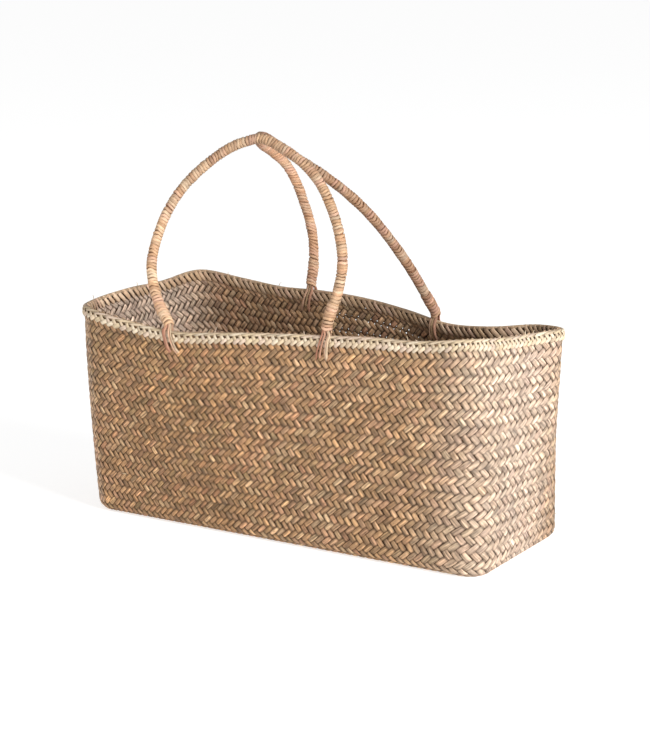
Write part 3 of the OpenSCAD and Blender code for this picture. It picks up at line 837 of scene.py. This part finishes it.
def bundle(rope, name, start, stop, radius, seed):
    """Six strands laid together inside the wrapping."""
    g = np.random.default_rng(seed)
    m, n = 180, 6
    s = np.linspace(start, stop, m)
    c, t, X, Y = rope.at(s)
    across, thick = lens(n)
    out = []
    for j in range(6):
        a = 2 * math.pi * j / 6 + 0.35 * np.sin(s / 60 + j) + s / 90
        cen = c + (X * np.cos(a)[:, None] + Y * np.sin(a)[:, None]) * (radius * 0.55)
        an = 2 * math.pi * np.arange(n) / n
        out.append(cen[:, None, :] + (X[:, None, :] * np.cos(an)[None, :, None] + Y[:, None, :] * np.sin(an)[None, :, None]) * (radius * 0.5))
    V = np.stack(out)
    tint = np.empty(V.shape[:3] + (4,))
    tint[..., :3] = (srgb(150, 104, 74) * np.exp(g.normal(0, 0.15, (6, 1))))[:, None, None, :]
    tint[..., 3] = g.uniform(0, 10, (6, 1, 1))
    return ribbons(name, V, tint, np.broadcast_to(s, (6, m)), MAT_TIE)


ropes = {"front_handle": Rope(FRONT_PATH, FRONT_SIDE), "back_handle": Rope(BACK_PATH, BACK_SIDE)}
FOOT_WRAPS = {}
for i, (body, rope) in enumerate(ropes.items()):
    L = rope.L
    # painted light and shade along each handle: the front handle is lighter on its left leg and darker from the crown
    # on; the back handle is darkened and tinted pink, lighter on its left leg and darker on its right
    tone = (lambda s: np.interp(s, [0, 110, 170, 300, L], [1.08, 1.0, 0.74, 0.80, 0.95])[:, None] * np.ones(3)) if i == 0 else (
        lambda s: np.interp(s, [0, 60, 170, 240, L - 60, L], [1.25, 1.22, 1.18, 0.86, 0.84, 1.0])[:, None] * PINK_AND_SHADE)
    wrap = helix(rope, f"{body}_wrap", 7.5, L - 7.5, 3.4, 4.62, 1.88, 0.86, 31 + i, hand=1 if i == 0 else -1,
                 gaps=((128.0, 1.4), (301.0, 0.8)) if i == 0 else ((90.0, 0.9), (410.0, 1.0)), shade=tone)
    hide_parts(f"{body}_wrapping")
    core = bundle(rope, f"{body}_bundle", 4.0, L - 4.0, 4.1, 41 + i)
    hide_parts(f"{body}_core")
    left = helix(rope, f"{body}_left_binding", 8.5, 22.5, 3.1, 5.5, 1.75, 0.75, 51 + i, shade=tone)
    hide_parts(f"{body}_left_whipping")
    right = helix(rope, f"{body}_right_binding", L - 22.5, L - 8.5, 3.1, 5.5, 1.75, 0.75, 61 + i, shade=tone)
    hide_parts(f"{body}_right_whipping")
    for ob in (wrap, core, left, right):
        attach(ob, body)
        pieces.append(ob)
    # the lowest turns, at the tie, are a piece of their own
    FOOT_WRAPS[body, True] = helix(rope, f"{body}_left_foot_wrap", -4.6, 9.2, 3.0, 5.1, 1.75, 0.78, 65 + i, shade=tone)
    FOOT_WRAPS[body, False] = helix(rope, f"{body}_right_foot_wrap", L - 9.2, L + 4.6, 3.0, 5.1, 1.75, 0.78, 67 + i, shade=tone)

# ---------------------------------------------------------------- ties at the feet
ROSE = np.array([srgb(188, 140, 114), srgb(168, 116, 92), srgb(214, 186, 154), srgb(204, 164, 136), srgb(190, 158, 122)])


def smooth_path(P, m):
    """m points, evenly spaced by length, through P."""
    C = open_curve(np.array(P, float), 16)
    d = np.r_[0, np.cumsum(np.linalg.norm(np.diff(C, axis=0), axis=1))]
    s = np.linspace(0, d[-1], m)
    return np.stack([np.interp(s, d, C[:, i]) for i in range(3)], -1), s


def tie(body, which, u, at_start, slant, seed):
    """Loose strands from inside a handle's foot, over both faces of the rim, into the wall."""
    g = np.random.default_rng(seed)
    rope = ropes[body]
    s_in, s_out = (3.0, -4.0) if at_start else (rope.L - 3.0, rope.L + 4.0)
    (p_in, p_out), (t_in, _), _, _ = rope.at(np.array([s_in, s_out]))
    ua = np.array([u])
    nrm = wall_level_normal(ua)[0]
    tan = np.cross(np.array([0, 0, 1.0]), nrm)
    across, thick = lens(8)
    strands = []
    legs = [(1, -3.3), (1, -1.8), (1, 1.6), (1, 3.1), (-1, -2.3), (-1, -0.1), (-1, 2.1)]
    m = 30
    Vs, al = [], []
    for side, lat in legs:
        lat = lat + g.normal(0, 0.25)
        spread = lat * 1.3 + g.normal(0, 0.3)
        end = 22.0 + g.normal(0, 1.2)
        base = 2.9 if side > 0 else -THICK - 2.6
        fan = []
        for down, off in ((-3.4, base * 0.62 + (-0.6 if side > 0 else -0.9)), (1.5, base + 0.35 * side), (8.0, base + 0.35 * side), (15.0, base - 0.7 * side), (end, -THICK / 2)):
            sl = slant * np.clip(down + 3, 0, None) / 28.0
            uu = np.array([u + (spread * (1 + 0.02 * np.clip(down, 0, None)) + sl) / 1310.0])
            fan.append(on_skin(uu, drop_k(uu, np.array([max(down, -3.4)])), np.array([off]))[0])
        up = p_in + nrm * 1.3 * side + tan * lat * 0.55
        mid = p_out + nrm * 2.1 * side + tan * lat * 0.9
        C, s = smooth_path([up, mid] + fan, m)
        T = np.gradient(C, axis=0)
        T /= np.linalg.norm(T, axis=1, keepdims=True)
        X = np.cross(T, nrm * side)
        X /= np.linalg.norm(X, axis=1, keepdims=True)
        Y = np.cross(X, T)
        hw = (1.35 if side > 0 else 1.6) * (1 + g.normal(0, 0.12))
        tw = g.normal(0, 0.35) + 0.5 * np.sin(s / 9 + g.uniform(0, 6))
        Xr = X * np.cos(tw)[:, None] + Y * np.sin(tw)[:, None]
        Yr = Y * np.cos(tw)[:, None] - X * np.sin(tw)[:, None]
        Vs.append(C[:, None, :] + Xr[:, None, :] * (across * hw)[None, :, None] + Yr[:, None, :] * (thick * 0.75)[None, :, None])
        al.append(s)
    V = np.stack(Vs)
    tint = np.empty(V.shape[:3] + (4,))
    col = ROSE[[1, 0, 3, 2, 0, 4, 3]] * np.exp(g.normal(0, 0.10, (len(legs), 1)))
    # painted shade: each strand darker towards its edges
    tint[..., :3] = col[:, None, None, :] * (1 - 0.15 * np.abs(across) ** 3)[None, None, :, None]
    tint[..., 3] = g.uniform(0, 10, (len(legs), 1, 1))
    ob = ribbons(f"{which}_strands", V, tint, np.stack(al), MAT_TIE, columns=1)
    for part, slot in ((ob, "strand_bundle"), (FOOT_WRAPS[body, at_start], "handle_wrap")):
        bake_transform(part)
        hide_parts(f"{which}_tie")
        pieces.append(part)


tie("front_handle", "front_handle_left", FOOT["fl"], True, 9.0, 71)
tie("front_handle", "front_handle_right", FOOT["fr"], False, -4.0, 72)
tie("back_handle", "back_handle_left", FOOT["bl"], True, 10.0, 73)
tie("back_handle", "back_handle_right", FOOT["br"], False, 1.5, 74)

# loose fibre ends that stand off the rim and the wall
def strays():
    g = np.random.default_rng(91)
    across, thick = lens(6)
    m = 7
    spots = [(0.1165, -1.2, 10.0, 0.60, 1.0), (0.111, -1.0, 6.0, 0.9, 0.7)]
    spots += [(g.uniform(0, 1), g.uniform(-2.0, 0.0), g.uniform(3.0, 6.0), g.uniform(-0.8, 0.8), g.uniform(0.2, 0.9)) for _ in range(12)]
    spots += [(g.uniform(0, 1), g.uniform(20, 205), g.uniform(3.0, 7.0), g.uniform(-1, 1), 0.0) for _ in range(26)]
    Vs, al = [], []
    for u, down, ln, sway, up in spots:
        f = np.linspace(0, 1, m)
        uu = u + sway * ln * f / 1310.0
        k = drop_k(uu, down - 0.5 * ln * f * up)
        off = np.where(up > 0, -1.5, -0.4) + (0.35 if up > 0 else 0.3) * ln * f ** 1.6
        C = on_skin(uu, np.minimum(k, M + 0.5), off)
        C[:, 2] += up * ln * 0.65 * f + (FOLD if up > 0 else 0) * np.clip(f * 2, 0, 1)
        T = np.gradient(C, axis=0)
        T /= np.linalg.norm(T, axis=1, keepdims=True)
        X = np.cross(T, np.array([0.3, -0.8, 0.5]))
        X /= np.linalg.norm(X, axis=1, keepdims=True)
        Y = np.cross(X, T)
        hw = 0.52 * (1 - 0.7 * f)
        Vs.append(C[:, None, :] + X[:, None, :] * (across[None, :] * hw[:, None])[..., None] + Y[:, None, :] * (thick[None, :] * hw[:, None] * 0.5)[..., None])
        al.append(f * ln)
    V = np.stack(Vs)
    tint = np.empty(V.shape[:3] + (4,))
    tint[..., :3] = (CREAM[g.integers(len(CREAM), size=len(spots))] * np.exp(g.normal(0, 0.12, (len(spots), 1))))[:, None, None, :]
    tint[..., 3] = g.uniform(0, 10, (len(spots), 1, 1))
    ob = ribbons("stray_fibres", V, tint, np.stack(al), MAT_PALE, columns=3)
    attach(ob, "basket")
    pieces.append(ob)


strays()

# ---------------------------------------------------------------- floor, light, camera
bpy.ops.mesh.primitive_plane_add(size=120, location=(0, 0, 0))
ground = bpy.context.object
ground.name = "ground"
gm = bpy.data.materials.new("pale_floor")
gm.use_nodes = True
gb = gm.node_tree.nodes["Principled BSDF"]
gb.inputs["Base Color"].default_value = (0.62, 0.62, 0.62, 1)
gb.inputs["Roughness"].default_value = 1.0
gb.inputs["Specular IOR Level"].default_value = 0.0
gb.inputs["Emission Color"].default_value = (1, 1, 1, 1)
gb.inputs["Emission Strength"].default_value = 0.66
ground.data.materials.append(gm)

world = bpy.data.worlds.new("studio")
bpy.context.scene.world = world
world.use_nodes = True
world.node_tree.nodes["Background"].inputs["Color"].default_value = (1.0, 1.0, 1.0, 1)
world.node_tree.nodes["Background"].inputs["Strength"].default_value = 0.50


def area(name, place, aim, size, power, colour=(1, 1, 1)):
    li = bpy.data.lights.new(name, "AREA")
    li.shape = "RECTANGLE"
    li.size, li.size_y = size
    li.energy = power
    li.color = colour
    ob = bpy.data.objects.new(name, li)
    bpy.context.scene.collection.objects.link(ob)
    ob.location = place
    ob.rotation_mode = "QUATERNION"
    ob.rotation_quaternion = (Vector(aim) - Vector(place)).to_track_quat("-Z", "Y")
    return ob


area("key", (3.3, -0.85, 1.45), (0.05, 0.0, 0.16), (1.2, 1.2), 150, (0.95, 0.98, 1.0))
area("front", (0.7, -2.6, 0.40), (0.0, 0.0, 0.12), (2.2, 0.6), 17, (1.0, 0.98, 0.96))

cam_data = bpy.data.cameras.new("camera")
cam_data.sensor_width = 36
cam_data.lens = 96
camera = bpy.data.objects.new("camera", cam_data)
bpy.context.scene.collection.objects.link(camera)
az, el, dist = math.radians(31.6), math.radians(13.0), 2.143
target = Vector((0.0033, 0.0137, 0.1661))
back = Vector((math.sin(az) * math.cos(el), -math.cos(az) * math.cos(el), math.sin(el)))
camera.location = target + back * dist
camera.rotation_mode = "QUATERNION"
camera.rotation_quaternion = (-back).to_track_quat("-Z", "Y")
cam_data.clip_start, cam_data.clip_end = 0.05, 50
bpy.context.scene.camera = camera
bpy.context.scene.view_settings.view_transform = "Standard"
